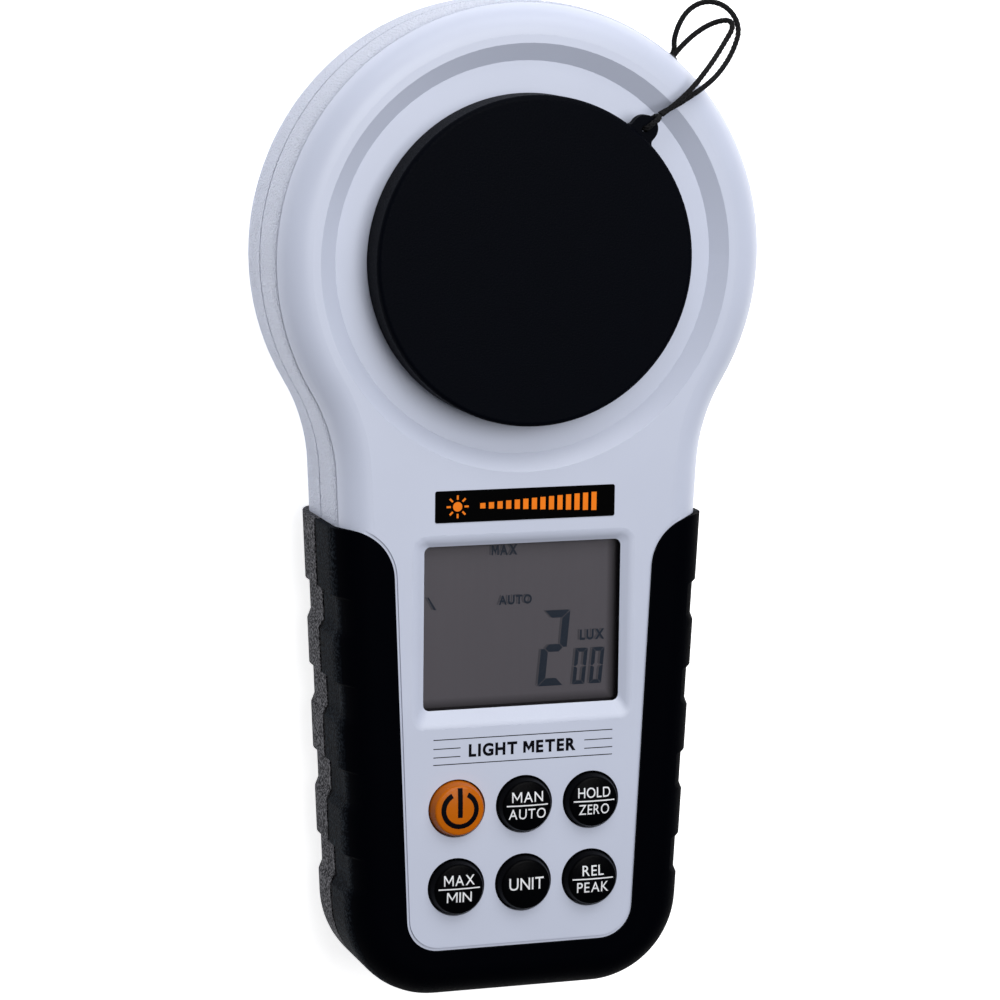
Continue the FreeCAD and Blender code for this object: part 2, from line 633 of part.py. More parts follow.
def make_sensor_cap():
    inner = CAP_RADIUS - CAP_WALL
    shell = turned([(0, CAP_TOP_Z), (CAP_RADIUS, CAP_TOP_Z), (CAP_RADIUS, CAP_BOTTOM_Z),
                    (inner, CAP_BOTTOM_Z), (inner, CAP_TOP_Z - CAP_ROOF), (0, CAP_TOP_Z - CAP_ROOF)])
    top_rim = [e for e in shell.Edges if e.BoundBox.ZMin > CAP_TOP_Z - 1e-4]
    shell = shell.makeFillet(CAP_EDGE, top_rim)
    centre = radial(LUG_ANGLE, LUG_DISTANCE, LUG_Z[0])
    ear = Part.makeCylinder(LUG_RADIUS, LUG_Z[1] - LUG_Z[0], centre, UP)
    neck = Part.makeBox(2.6, 2 * LUG_RADIUS, LUG_Z[1] - LUG_Z[0], V(-2.6, -LUG_RADIUS, 0))
    neck.rotate(V(0, 0, 0), UP, math.degrees(LUG_ANGLE))
    neck.translate(centre)
    cap = fuse([shell, ear, neck])
    cap = cap.makeFillet(LUG_FILLET, [e for e in cap.Edges if beside_neck(e, centre)])
    hole = Part.makeCylinder(LUG_HOLE, 10, V(centre.x, centre.y, LUG_Z[0] - 2), UP)
    return cap.cut(hole)


def make_diffuser():
    """Shallow translucent dome with the flange that the bezel holds down."""
    rise = DOME_TOP_Z - DISH_Z
    outer = (DOME_RADIUS ** 2 + rise ** 2) / (2 * rise)
    centre = V(0, HEAD_Y, DOME_TOP_Z - outer)
    ball = Part.makeSphere(outer, centre)
    inner_ball = Part.makeSphere(outer - DOME_WALL, centre)
    dome = ball.common(cylinder(DOME_RADIUS, 0, HEAD_Y, DISH_Z, DOME_TOP_Z + 1))
    flange = cylinder(FLANGE_RADIUS, 0, HEAD_Y, WELL_TOP_Z, DISH_Z)
    bore = cylinder(DOME_RADIUS - DOME_WALL, 0, HEAD_Y, WELL_TOP_Z - 1, DISH_Z)
    hollow = inner_ball.common(cylinder(DOME_RADIUS - DOME_WALL, 0, HEAD_Y, DISH_Z - 0.5, DOME_TOP_Z))
    return fuse([dome, flange]).cut(bore).cut(hollow)


def make_bezel():
    return turned([(BEZEL_LIP, DISH_Z), (BEZEL_LIP, DISH_Z + 1.0), (BEZEL_LIP + 1.2, BEZEL_TOP_Z),
                   (BEZEL_RADIUS - 0.8, BEZEL_TOP_Z), (BEZEL_RADIUS, BEZEL_TOP_Z - 0.8),
                   (BEZEL_RADIUS, DISH_Z), (SKIRT_RADII[1], DISH_Z), (SKIRT_RADII[1], FLOOR_Z + 0.3),
                   (SKIRT_RADII[0], FLOOR_Z + 0.3), (SKIRT_RADII[0], DISH_Z)])


def make_light_well():
    return turned([(FLANGE_RADIUS, BOARD_Z[1]), (FLANGE_RADIUS, WELL_TOP_Z), (20.5, WELL_TOP_Z),
                   (FILTER_RADIUS + 0.4, FILTER_Z[1]), (FILTER_RADIUS, FILTER_Z[1]),
                   (FILTER_RADIUS, FILTER_Z[0]), (DIODE_BORE, FILTER_Z[0]), (DIODE_BORE, BOARD_Z[1])])


def make_photodiode():
    half = DIODE_SIZE / 2
    case = box(-half, half, HEAD_Y - half, HEAD_Y + half, BOARD_Z[1], BOARD_Z[1] + 1.9)
    return case.cut(cylinder(3.6, 0, HEAD_Y, BOARD_Z[1] + 1.4, BOARD_Z[1] + 3))


def make_sensor_board():
    board = cylinder(SENSOR_BOARD_RADIUS, 0, HEAD_Y, BOARD_Z[0], BOARD_Z[1])
    for x, y in sensor_screw_spots():
        board = board.cut(cylinder(SMALL_SCREW, x, y, BOARD_Z[0] - 1, BOARD_Z[1] + 1))
    return board


def make_ribbon():
    return box(-5, 5, MAIN_Y[1] - 4, HEAD_Y - SENSOR_BOARD_RADIUS + 5, BOARD_Z[0] - 0.3, BOARD_Z[0])


# --- display, board and keys ----------------------------------------------------------

def make_name_plate():
    z_low = FACE_Z - PLATE_RECESS
    return rounded_plate(PLATE_HALF_X - 0.05, (PLATE_Y[0] + 0.05, PLATE_Y[1] - 0.05), z_low,
                         z_low + PLATE_THICK, 0.35)


def make_window():
    lap = WINDOW_LAP - 0.1
    y_span = (WINDOW_Y[0] - lap, WINDOW_Y[1] + lap)
    return rounded_plate(WINDOW_HALF_X + lap, y_span, WINDOW_Z - WINDOW_THICK, WINDOW_Z, 1.4)


def lcd_span():
    return (WINDOW_Y[0] - LCD_LAP_Y, WINDOW_Y[1] + LCD_LAP_Y)


def make_lcd_glass():
    """Two bonded glass plates, the lower one longer to carry the contact edge."""
    y_low, y_high = lcd_span()
    split = LCD_TOP_Z - LCD_THICK / 2
    upper = box(-LCD_HALF_X, LCD_HALF_X, y_low + 2.0, y_high, split, LCD_TOP_Z)
    lower = box(-LCD_HALF_X, LCD_HALF_X, y_low, y_high, LCD_TOP_Z - LCD_THICK, split)
    return fuse([upper, lower])


def make_lcd_reflector():
    y_low, y_high = lcd_span()
    return box(-LCD_HALF_X, LCD_HALF_X, y_low + 3.2, y_high - 3.2, BOARD_Z[1], LCD_TOP_Z - LCD_THICK)


def make_contact_strips():
    y_low, y_high = lcd_span()
    z_span = (BOARD_Z[1], LCD_TOP_Z - LCD_THICK)
    strips = [box(-LCD_HALF_X + 1, LCD_HALF_X - 1, start, start + 2.2, z_span[0], z_span[1])
              for start in (y_low + 0.4, y_high - 2.6)]
    return Part.makeCompound(strips)


def make_main_board():
    board = rounded_plate(MAIN_HALF_X, MAIN_Y, BOARD_Z[0], BOARD_Z[1], 2.0)
    for x, y in mirrored_spots(BOARD_SCREW_SPOTS):
        board = board.cut(cylinder(SMALL_SCREW, x, y, BOARD_Z[0] - 1, BOARD_Z[1] + 1))
    return board


def make_board_chips():
    """Processor, amplifier, crystal, sounder and two capacitors under the main board."""
    top = BOARD_Z[0]
    parts = [
        box(-6, 6, -36, -24, top - 1.6, top),
        box(10, 15, -20, -14, top - 1.5, top),
        box(-17, -12, -46, -34, top - 3.4, top),
        cylinder(4.6, 14, -52, top - 3.2, top),
        cylinder(2.2, -12, -62, top - 5.0, top),
        cylinder(2.2, -6, -62, top - 5.0, top),
    ]
    return Part.makeCompound(parts)


def make_keypad_mat():
    """Silicone switch mat with one dome under each key."""
    y_span = (KEY_ROW_Y - KEY_PITCH_Y - 6.0, KEY_ROW_Y + 6.4)
    mat = rounded_plate(MAT_HALF_X, y_span, BOARD_Z[1], BOARD_Z[1] + MAT_THICK, 1.5)
    dome_top = KEY_STEM_Z - KEY_TRAVEL - 0.1
    domes = []
    for x, y in key_spots().values():
        domes.append(Part.makeCone(MAT_DOME_RADIUS + 1.0, MAT_DOME_RADIUS, dome_top - BOARD_Z[1] - 0.5,
                                   V(x, y, BOARD_Z[1] + 0.5), UP))
    return fuse([mat] + domes)


def make_key(x, y):
    """Round push key: domed top, retaining flange under the face and a stem over the mat."""
    top = FACE_Z + KEY_HEIGHT
    crown_rise = 0.35
    ball = (KEY_TOP_RADIUS ** 2 + crown_rise ** 2) / (2 * crown_rise)
    cap = Part.makeCone(KEY_BASE_RADIUS, KEY_TOP_RADIUS, KEY_HEIGHT, V(x, y, FACE_Z), UP)
    cap = cap.common(Part.makeSphere(ball, V(x, y, top - ball)))
    rim = [e for e in cap.Edges if e.BoundBox.ZMin > FACE_Z + 1.0 and e.BoundBox.XLength > 2 * KEY_TOP_RADIUS - 1]
    cap = cap.makeFillet(KEY_EDGE, rim)
    barrel = cylinder(KEY_BASE_RADIUS, x, y, KEY_FLANGE_Z[0], FACE_Z)
    flange = cylinder(KEY_FLANGE_RADIUS, x, y, KEY_FLANGE_Z[0], KEY_FLANGE_Z[1])
    stem = cylinder(KEY_STEM_RADIUS, x, y, KEY_STEM_Z, KEY_FLANGE_Z[0])
    return fuse([cap, barrel, flange, stem])


# --- fasteners ------------------------------------------------------------------------

def screw(x, y, head_z, head_thick, head_radius, shank_radius, tip_z, drive):
    """Pan-head screw pointing up (+Z), head below, with a cross recess."""
    head = cylinder(head_radius, x, y, head_z, head_z + head_thick)
    low_rim = [e for e in head.Edges if e.BoundBox.ZMax < head_z + 1e-4]
    head = head.makeFillet(head_thick * 0.35, low_rim)
    shank = cylinder(shank_radius, x, y, head_z + head_thick, tip_z)
    tip = [e for e in shank.Edges if e.BoundBox.ZMin > tip_z - 1e-4]
    shank = shank.makeChamfer(shank_radius * 0.4, tip)
    body = fuse([head, shank])
    for long_x, long_y in ((drive, drive * 0.28), (drive * 0.28, drive)):
        body = body.cut(box(x - long_x, x + long_x, y - long_y, y + long_y, head_z - 1, head_z + head_thick * 0.55))
    return body


def make_case_screws():
    z = COUNTERBORE_DEPTH - CASE_HEAD_THICK
    return Part.makeCompound([
        screw(x, y, z, CASE_HEAD_THICK, CASE_SCREW_HEAD, CASE_SCREW, PARTING_Z + 5.5, 1.5)
        for x, y in mirrored_spots(CASE_SCREW_SPOTS)])


def make_small_screws(spots, tip_z):
    z = BOARD_Z[0] - SMALL_HEAD_THICK
    return Part.makeCompound([
        screw(x, y, z, SMALL_HEAD_THICK, SMALL_HEAD, SMALL_SCREW, tip_z, 1.0) for x, y in spots])


def make_tripod_insert():
    """Knurled brass bush with the camera thread's bore, open towards the back."""
    body = cylinder(INSERT_OUTER, 0, INSERT_Y, 0.2, INSERT_LENGTH)
    body = body.cut(cylinder(INSERT_BORE, 0, INSERT_Y, -1, INSERT_LENGTH - 0.8))
    waist = Part.makeTorus(INSERT_OUTER + 0.1, 0.45, V(0, INSERT_Y, INSERT_LENGTH / 2), UP)
    return body.cut(waist)


# --- battery bay ----------------------------------------------------------------------

def hinge_axis():
    return V(0, DOOR_Y[1] - (DOOR_Z[1] - DOOR_Z[0]) / 2, sum(DOOR_Z) / 2)


def make_battery_holder():
    """Tray that the cells lie in, open towards the back of the meter."""
    outer = box(-BAY_HALF_X - BAY_WALL, BAY_HALF_X + BAY_WALL, BAY_Y[0] - BAY_WALL, BAY_Y[1] + BAY_WALL,
                PAD_Z, BAY_ROOF_Z + BAY_WALL)
    return outer.cut(box(-BAY_HALF_X, BAY_HALF_X, BAY_Y[0], BAY_Y[1], PAD_Z - 1, BAY_ROOF_Z))


def cell_centres():
    z = BAY_ROOF_Z - CELL_RADIUS - 0.4
    return [((i - 1) * CELL_PITCH, z, 1 if i != 1 else -1) for i in range(3)]


def make_battery_cells():
    """Three small round cells side by side, the middle one the other way round."""
    cells = []
    for x, z, way in cell_centres():
        plus_end = BAY_Y[1] - CONTACT_THICK if way > 0 else BAY_Y[0] + CONTACT_THICK
        axis = V(0, -way, 0)
        nub = Part.makeCylinder(CELL_NUB[0], CELL_NUB[1] + 0.2, V(x, plus_end, z), axis)
        can = Part.makeCylinder(CELL_RADIUS, CELL_LENGTH - CELL_NUB[1],
                                V(x, plus_end - way * CELL_NUB[1], z), axis)
        can = can.makeFillet(0.4, [e for e in can.Edges if e.BoundBox.YLength < 1e-6])
        cells.append(fuse([can, nub]))
    return Part.makeCompound(cells)


def wire_section():
    """Spring wire's end: a polygon, so that the coil's faces mesh true to their volume."""
    points = []
    for i in range(SPRING_SIDES):
        turn = 2 * math.pi * i / SPRING_SIDES
        points.append(V(SPRING_RADIUS + SPRING_WIRE * math.cos(turn), 0, SPRING_WIRE * math.sin(turn)))
    return Part.makePolygon(points + points[:1])


def make_battery_springs():
    gap = (BAY_Y[1] - BAY_Y[0]) - 2 * CONTACT_THICK - CELL_LENGTH
    rise = gap - 2 * SPRING_WIRE
    springs = []
    for x, z, way in cell_centres():
        path = Part.makeHelix(rise / SPRING_TURNS, rise, SPRING_RADIUS)
        start = wire_section()
        coil = Part.Wire(path).makePipeShell([start], True, True)
        coil.rotate(V(0, 0, 0), V(1, 0, 0), -90)
        low = BAY_Y[0] + CONTACT_THICK if way > 0 else BAY_Y[1] - CONTACT_THICK - gap
        coil.translate(V(x, low + SPRING_WIRE, z))
        springs.append(coil)
    return Part.makeCompound(springs)


def make_contact_plates():
    plates = []
    for x, z, way in cell_centres():
        for low in (BAY_Y[0], BAY_Y[1] - CONTACT_THICK):
            plates.append(box(x - CONTACT_HALF, x + CONTACT_HALF, low, low + CONTACT_THICK,
                              z - CONTACT_HALF, z + CONTACT_HALF))
    return Part.makeCompound(plates)


def make_battery_door():
    """Flat door: two pins at its upper end, and a counterbored screw hole at its lower end."""
    axis = hinge_axis()
    radius = (DOOR_Z[1] - DOOR_Z[0]) / 2
    plate = rounded_plate(DOOR_HALF_X, (DOOR_Y[0], axis.y), DOOR_Z[0], DOOR_Z[1], 0.0)
    plate = plate.makeFillet(1.2, [e for e in plate.Edges
                                   if e.BoundBox.ZLength > 1 and e.BoundBox.YMax < DOOR_Y[0] + 1])
    knuckle = Part.makeCylinder(radius, 2 * DOOR_HALF_X, V(-DOOR_HALF_X, axis.y, axis.z), V(1, 0, 0))
    pin_half = DOOR_HALF_X + HINGE_PIN_OUT
    pins = Part.makeCylinder(HINGE_PIN, 2 * pin_half, V(-pin_half, axis.y, axis.z), V(1, 0, 0))
    door = fuse([plate, knuckle, pins])
    door = door.cut(cylinder(DOOR_SCREW_HEAD + 0.15, 0, DOOR_SCREW_Y, -1, DOOR_Z[0] + 1.2))
    door = door.cut(cylinder(DOOR_SCREW + 0.06, 0, DOOR_SCREW_Y, -1, DOOR_Z[1] + 1))
    for i in range(5):
        y = DOOR_Y[1] - 10.0 - i * 1.8
        door = door.cut(box(-6, 6, y, y + 0.8, -1, DOOR_Z[0] + 0.35))
    return door


def make_door_screw():
    z = DOOR_Z[0] + 0.1
    return screw(0, DOOR_SCREW_Y, z, 1.05, DOOR_SCREW_HEAD, DOOR_SCREW, DOOR_SCREW_TIP_Z, 1.5)


# --- assembly -------------------------------------------------------------------------

def build():
    front, rear, front_grip, rear_grip = make_shells()
    nodes = {
        "front_housing": front,
        "rear_housing": rear,
        "front_grip": front_grip,
        "rear_grip": rear_grip,
        "name_plate": make_name_plate(),
        "display_window": make_window(),
        "lcd_glass": make_lcd_glass(),
        "lcd_reflector": make_lcd_reflector(),
        "lcd_contact_strips": make_contact_strips(),
        "main_board": make_main_board(),
        "board_chips": make_board_chips(),
        "keypad_mat": make_keypad_mat(),
        "sensor_cap": make_sensor_cap(),
        "diffuser_dome": make_diffuser(),
        "diffuser_bezel": make_bezel(),
        "light_well": make_light_well(),
        "correction_filter": cylinder(FILTER_RADIUS - 0.05, 0, HEAD_Y, FILTER_Z[0], FILTER_Z[1]),
        "photodiode": make_photodiode(),
        "sensor_board": make_sensor_board(),
        "sensor_ribbon": make_ribbon(),
        "case_screws": make_case_screws(),
        "board_screws": make_small_screws(mirrored_spots(BOARD_SCREW_SPOTS), CAVITY_TOP - 0.9),
        "sensor_screws": make_small_screws(sensor_screw_spots(), FLOOR_Z + 0.5),
        "tripod_insert": make_tripod_insert(),
        "battery_holder": make_battery_holder(),
        "battery_cells": make_battery_cells(),
        "battery_springs": make_battery_springs(),
        "contact_plates": make_contact_plates(),
        "battery_door": make_battery_door(),
        "door_screw": make_door_screw(),
        "cord_bead": make_cord_bead(),
        "cap_cord_inner": make_strand(INNER_STRAND, "cap_cord_inner"),
        "cap_cord_outer": make_strand(OUTER_STRAND, "cap_cord_outer"),
        "cap_cord_knot": make_cord_knot(),
    }
    for name, (x, y) in key_spots().items():
        nodes[name] = make_key(x, y)
    return nodes


def main():
    os.makedirs("parts", exist_ok=True)
    for name, shape in build().items():
        if not shape.isValid():
            raise ValueError(name + " is not valid")
        shape.exportStep("parts/" + name + ".step")
        print(name, len(shape.Solids), round(shape.Volume, 1))


main()
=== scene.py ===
"""Looks of the handheld light meter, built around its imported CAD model. All lengths are in metres."""
import json
import math

import bmesh
import bpy
from mathutils import Matrix, Vector


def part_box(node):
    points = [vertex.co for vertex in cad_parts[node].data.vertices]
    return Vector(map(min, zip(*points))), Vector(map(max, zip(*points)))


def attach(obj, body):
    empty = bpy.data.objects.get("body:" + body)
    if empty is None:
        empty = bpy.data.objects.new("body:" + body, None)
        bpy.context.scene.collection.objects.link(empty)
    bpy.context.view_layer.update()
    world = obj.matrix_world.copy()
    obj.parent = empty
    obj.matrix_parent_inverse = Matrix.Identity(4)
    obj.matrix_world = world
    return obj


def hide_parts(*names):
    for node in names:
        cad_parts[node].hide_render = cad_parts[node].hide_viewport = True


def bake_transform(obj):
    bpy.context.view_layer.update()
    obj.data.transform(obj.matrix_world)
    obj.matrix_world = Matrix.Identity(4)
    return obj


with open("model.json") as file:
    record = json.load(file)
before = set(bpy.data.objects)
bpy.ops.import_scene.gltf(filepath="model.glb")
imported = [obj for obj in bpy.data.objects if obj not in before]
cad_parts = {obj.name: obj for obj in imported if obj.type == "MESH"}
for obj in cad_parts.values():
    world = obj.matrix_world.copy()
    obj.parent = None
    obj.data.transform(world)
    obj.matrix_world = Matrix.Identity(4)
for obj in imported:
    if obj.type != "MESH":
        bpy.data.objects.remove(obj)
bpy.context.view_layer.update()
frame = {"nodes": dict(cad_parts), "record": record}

# --- places taken from the frame -------------------------------------------------------
HOUSING_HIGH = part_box("front_housing")[1]
FACE_Z = HOUSING_HIGH.z
GRAIN_TOP = FACE_Z - 0.0042
REAR_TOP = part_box("rear_grip")[1].z
HEAD_RADIUS = HOUSING_HIGH.x
HEAD_Y = HOUSING_HIGH.y - HEAD_RADIUS
PLATE_LOW, PLATE_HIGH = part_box("name_plate")
LCD_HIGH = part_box("lcd_glass")[1]

# --- materials -------------------------------------------------------------------------
SPARK_GRAIN = 0.00045
# Half width of the black band of painted shade along the groove between the grips.
GROOVE_SHADE_BAND = 0.0005
SOFT_EDGE = 0.0001
CELL_BAND_Y = -0.0261
# Spans over which painted shade of the display frame darkens the film to black.
LCD_FRAME_SHADE_X = (0.0168, 0.0186)
LCD_FRAME_SHADE_Y = (-0.0352, -0.0372)
CONTACT_LAYER = 0.0004


class Finish:
    """A material being put together: its node tree, its surface shader and a few node makers."""

    def __init__(self, name, colour, roughness, metallic=0.0, specular=0.5):
        self.made = bpy.data.materials.new(name)
        self.made.use_nodes = True
        self.tree = self.made.node_tree
        self.shader = self.tree.nodes["Principled BSDF"]
        self.shader.inputs["Base Color"].default_value = (*colour, 1)
        self.shader.inputs["Roughness"].default_value = roughness
        self.shader.inputs["Metallic"].default_value = metallic
        self.shader.inputs["Specular IOR Level"].default_value = specular
        self.colour = colour
        self.place = self.tree.nodes.new("ShaderNodeTexCoord").outputs["Object"]

    def link(self, source, target):
        self.tree.links.new(source, target)

    def noise(self, size, detail=2.0, stretch=(1, 1, 1)):
        """Cloudy pattern whose blobs are about size metres across, stretched along an axis if asked."""
        mapping = self.tree.nodes.new("ShaderNodeMapping")
        mapping.inputs["Scale"].default_value = tuple(1 / (size * s) for s in stretch)
        pattern = self.tree.nodes.new("ShaderNodeTexNoise")
        pattern.inputs["Scale"].default_value = 1
        pattern.inputs["Detail"].default_value = detail
        self.link(self.place, mapping.inputs["Vector"])
        self.link(mapping.outputs["Vector"], pattern.inputs["Vector"])
        return pattern.outputs["Fac"]

    def ramp(self, source, low, high, start=0.0, end=1.0):
        """source from low to high, mapped to start to end and held there outside."""
        node = self.tree.nodes.new("ShaderNodeMapRange")
        node.inputs["From Min"].default_value = low
        node.inputs["From Max"].default_value = high
        node.inputs["To Min"].default_value = start
        node.inputs["To Max"].default_value = end
        self.link(source, node.inputs["Value"])
        return node.outputs["Result"]

    def axis(self, name):
        node = self.tree.nodes.new("ShaderNodeSeparateXYZ")
        self.link(self.place, node.inputs["Vector"])
        return node.outputs[name]

    def math(self, kind, first, second):
        node = self.tree.nodes.new("ShaderNodeMath")
        node.operation = kind
        for socket, value in zip(node.inputs, (first, second)):
            if isinstance(value, (int, float)):
                socket.default_value = value
            else:
                self.link(value, socket)
        return node.outputs["Value"]

    def mix(self, share, first, second):
        """Colour between first and second, by share."""
        node = self.tree.nodes.new("ShaderNodeMix")
        node.data_type = "RGBA"
        self.link(share, node.inputs["Factor"])
        for socket, value in ((node.inputs[6], first), (node.inputs[7], second)):
            if isinstance(value, (tuple, list)):
                socket.default_value = (*value, 1)
            else:
                self.link(value, socket)
        return node.outputs[2]

    def tint(self, colour):
        self.link(colour, self.shader.inputs["Base Color"])

    def vary(self, size, amount):
        """Lets the colour wander by a share of itself."""
        share = self.ramp(self.noise(size, 3.0), 0.3, 0.7)
        dark = tuple(c * (1 - amount) for c in self.colour)
        light = tuple(min(1.0, c * (1 + amount)) for c in self.colour)
        self.tint(self.mix(share, dark, light))

    def bump(self, height, depth):
        node = self.tree.nodes.new("ShaderNodeBump")
        node.inputs["Distance"].default_value = depth
        node.inputs["Strength"].default_value = 1.0
        self.link(height, node.inputs["Height"])
        self.link(node.outputs["Normal"], self.shader.inputs["Normal"])

    def rough(self, source, low, high):
        self.link(self.ramp(source, 0.3, 0.7, low, high), self.shader.inputs["Roughness"])


def shell_white():
    """Cool white plastic: smooth faces, spark-eroded grain on everything below the face's rounded edge."""
    finish = Finish("shell_white", (0.56, 0.60, 0.73), 0.42, specular=0.45)
    grain = finish.noise(SPARK_GRAIN, 3.0)
    below = finish.ramp(finish.axis("Z"), GRAIN_TOP, GRAIN_TOP + 0.0004, 1.0, 0.0)
    finish.vary(0.02, 0.02)
    finish.bump(finish.math("MULTIPLY", grain, below), 0.0008)
    finish.link(finish.ramp(below, 0, 1, 0.36, 0.5), finish.shader.inputs["Roughness"])
    return finish.made


def grip_rubber():
    """Black overmoulded rubber: smooth front, speckled walls, greyer rear half, and a black band of painted
    shade in the joint groove.
    """
    finish = Finish("grip_rubber", (0.0006, 0.0008, 0.0018), 0.55, specular=0.006)
    grain = finish.noise(SPARK_GRAIN, 3.0)
    height = finish.axis("Z")
    below = finish.ramp(height, GRAIN_TOP, GRAIN_TOP + 0.0015, 1.0, 0.05)
    speck = finish.ramp(grain, 0.46, 0.60)
    rear = finish.mix(speck, (0.022, 0.022, 0.025), (0.180, 0.180, 0.195))
    side = finish.mix(speck, (0.0012, 0.0018, 0.0035), (0.0180, 0.0230, 0.0300))
    # Painted shade: the walls go black either side of the rear grip's top, standing in for the shadow in
    # the groove between the grips.
    low, high = REAR_TOP - GROOVE_SHADE_BAND, REAR_TOP + GROOVE_SHADE_BAND
    walls = finish.mix(finish.ramp(height, low - SOFT_EDGE, low), rear, finish.colour)
    walls = finish.mix(finish.ramp(height, high, high + 2 * SOFT_EDGE), walls, side)
    finish.tint(finish.mix(finish.ramp(below, 0.05, 1.0), finish.colour, walls))
    finish.bump(finish.math("MULTIPLY", grain, below), 0.0005)
    finish.rough(grain, 0.45, 0.62)
    return finish.made


def plain(name, colour, roughness, grain=0.0004, depth=0.00003, metallic=0.0, specular=0.5, vary=0.05):
    """Moulded or machined finish with a fine even grain."""
    finish = Finish(name, colour, roughness, metallic, specular)
    pattern = finish.noise(grain, 3.0)
    finish.vary(0.004, vary)
    finish.bump(pattern, depth)
    finish.rough(pattern, roughness * 0.85, min(1.0, roughness * 1.15))
    return finish.made


def lcd_grey():
    """Warm grey polariser, with painted shade of the frame darkening it to black at its right and lower
    edges.
    """
    finish = Finish("lcd_grey", (0.130, 0.119, 0.135), 0.32, specular=0.3)
    # Painted shade of the frame: the film goes black towards its right and lower edges.
    right = finish.ramp(finish.axis("X"), *LCD_FRAME_SHADE_X)
    low = finish.ramp(finish.axis("Y"), *LCD_FRAME_SHADE_Y)
    painted_frame_shade = finish.math("MAXIMUM", right, finish.math("MULTIPLY", low, 0.8))
    fibre = finish.ramp(finish.noise(0.0006, 2.0, (1, 30, 1)), 0.3, 0.7)
    film = finish.mix(fibre, (0.127, 0.117, 0.135), (0.132, 0.122, 0.140))
    finish.tint(finish.mix(painted_frame_shade, film, (0.006, 0.004, 0.006)))
    return finish.made


def clear_window():
    """Thin polished lens, nearly invisible but for its gloss."""
    finish = Finish("clear_window", (0.004, 0.004, 0.005), 0.04, specular=0.5)
    finish.shader.inputs["Alpha"].default_value = 0.12
    scuffs = finish.noise(0.0015, 4.0, (1, 6, 1))
    finish.rough(scuffs, 0.02, 0.07)
    return finish.made


def circuit_board():
    """Green solder mask with paler copper runs under it."""
    finish = Finish("circuit_board", (0.012, 0.10, 0.045), 0.3)
    runs = finish.ramp(finish.noise(0.0018, 0.0, (1, 8, 1)), 0.52, 0.55)
    finish.tint(finish.mix(runs, (0.010, 0.085, 0.04), (0.03, 0.17, 0.07)))
    finish.bump(runs, 0.00003)
    return finish.made


def striped_rubber():
    """Elastomer connector: conducting and insulating layers in turn."""
    finish = Finish("contact_rubber", (0.2, 0.2, 0.21), 0.6)
    wave = finish.math("SINE", finish.math("MULTIPLY", finish.axis("X"), 2 * math.pi / CONTACT_LAYER), 0)
    finish.tint(finish.mix(finish.ramp(wave, -0.3, 0.3), (0.02, 0.02, 0.02), (0.45, 0.40, 0.36)))
    finish.bump(wave, 0.00002)
    return finish.made


def cell_jacket():
    """Printed metal jacket of a small round cell: dark sleeve, gold band towards its button end."""
    finish = Finish("cell_jacket", (0.03, 0.03, 0.035), 0.3, metallic=0.6)
    band = finish.ramp(finish.axis("Y"), CELL_BAND_Y - SOFT_EDGE, CELL_BAND_Y + SOFT_EDGE)
    finish.tint(finish.mix(band, (0.02, 0.02, 0.024), (0.55, 0.36, 0.10)))
    finish.bump(finish.noise(0.0006), 0.00001)
    return finish.made


def make_finishes():
    """Every finish of the meter, by the name of its slot."""
    return {
        "shell_white": shell_white(),
        "grip_rubber": grip_rubber(),
        "plate_black": plain("plate_black", (0.0008, 0.0008, 0.0009), 0.35, 0.0006, 0.00001, specular=0.01),
        "clear_window": clear_window(),
        "lcd_grey": lcd_grey(),
        "reflector_white": plain("reflector_white", (0.7, 0.7, 0.68), 0.6),
        "contact_rubber": striped_rubber(),
        "circuit_board": circuit_board(),
        "chip_black": plain("chip_black", (0.02, 0.02, 0.02), 0.55, 0.0002),
        "silicone_grey": plain("silicone_grey", (0.35, 0.36, 0.38), 0.5),
        "cap_black": plain("cap_black", (0.0008, 0.0013, 0.0032), 0.55, 0.0003, 0.00004, specular=0.03),
        "diffuser_white": plain("diffuser_white", (0.85, 0.85, 0.82), 0.5),
        "inner_black": plain("inner_black", (0.012, 0.012, 0.014), 0.6, 0.0003, 0.00005),
        "filter_green": plain("filter_green", (0.10, 0.30, 0.16), 0.1, 0.002, 0.000005),
        "diode_ceramic": plain("diode_ceramic", (0.7, 0.66, 0.58), 0.6),
        "ribbon_amber": plain("ribbon_amber", (0.42, 0.20, 0.03), 0.3),
        "steel": plain("steel", (0.52, 0.52, 0.54), 0.32, 0.0008, 0.00001, metallic=1.0),
        "brass": plain("brass", (0.70, 0.48, 0.18), 0.3, 0.0008, 0.00001, metallic=1.0),
        "cell_jacket": cell_jacket(),
        "tether_cord": plain("tether_cord", (0.009, 0.009, 0.010), 0.8, 0.0001, 0.00003,
                             specular=0.15, vary=0.3),
        "key_black": plain("key_black", (0.0008, 0.0009, 0.0014), 0.3, 0.001, 0.000004, specular=0.03),
        "key_orange": plain("key_orange", (0.52, 0.122, 0.002), 0.25, 0.001, 0.000004, specular=0.15),
        "print_white": plain("print_white", (0.80, 0.81, 0.84), 0.5),
        "print_black": plain("print_black", (0.0015, 0.0018, 0.004), 0.5, specular=0.04),
        "print_orange": plain("print_orange", (0.90, 0.205, 0.004), 0.5, specular=0.15),
        "lcd_dark": plain("lcd_dark", (0.0116, 0.021, 0.0395), 0.4, specular=0.3),
        "lcd_shadow": plain("lcd_shadow", (0.073, 0.070, 0.084), 0.4, specular=0.3),
        "lcd_ghost": plain("lcd_ghost", (0.114, 0.106, 0.122), 0.35, specular=0.3),
    }


FINISHES = make_finishes()


def finish_frame():
    """Gives every carried-over CAD node the finish of its slot."""
    slots = {row["node"]: row["material_slot"] for row in frame["record"]["subparts"]}
    for node, piece in frame["nodes"].items():
        piece.data.materials.clear()
        piece.data.materials.append(FINISHES[slots[node]])


# --- making pieces ---------------------------------------------------------------------
# Half the thickness of printed ink.
INK = 0.00003


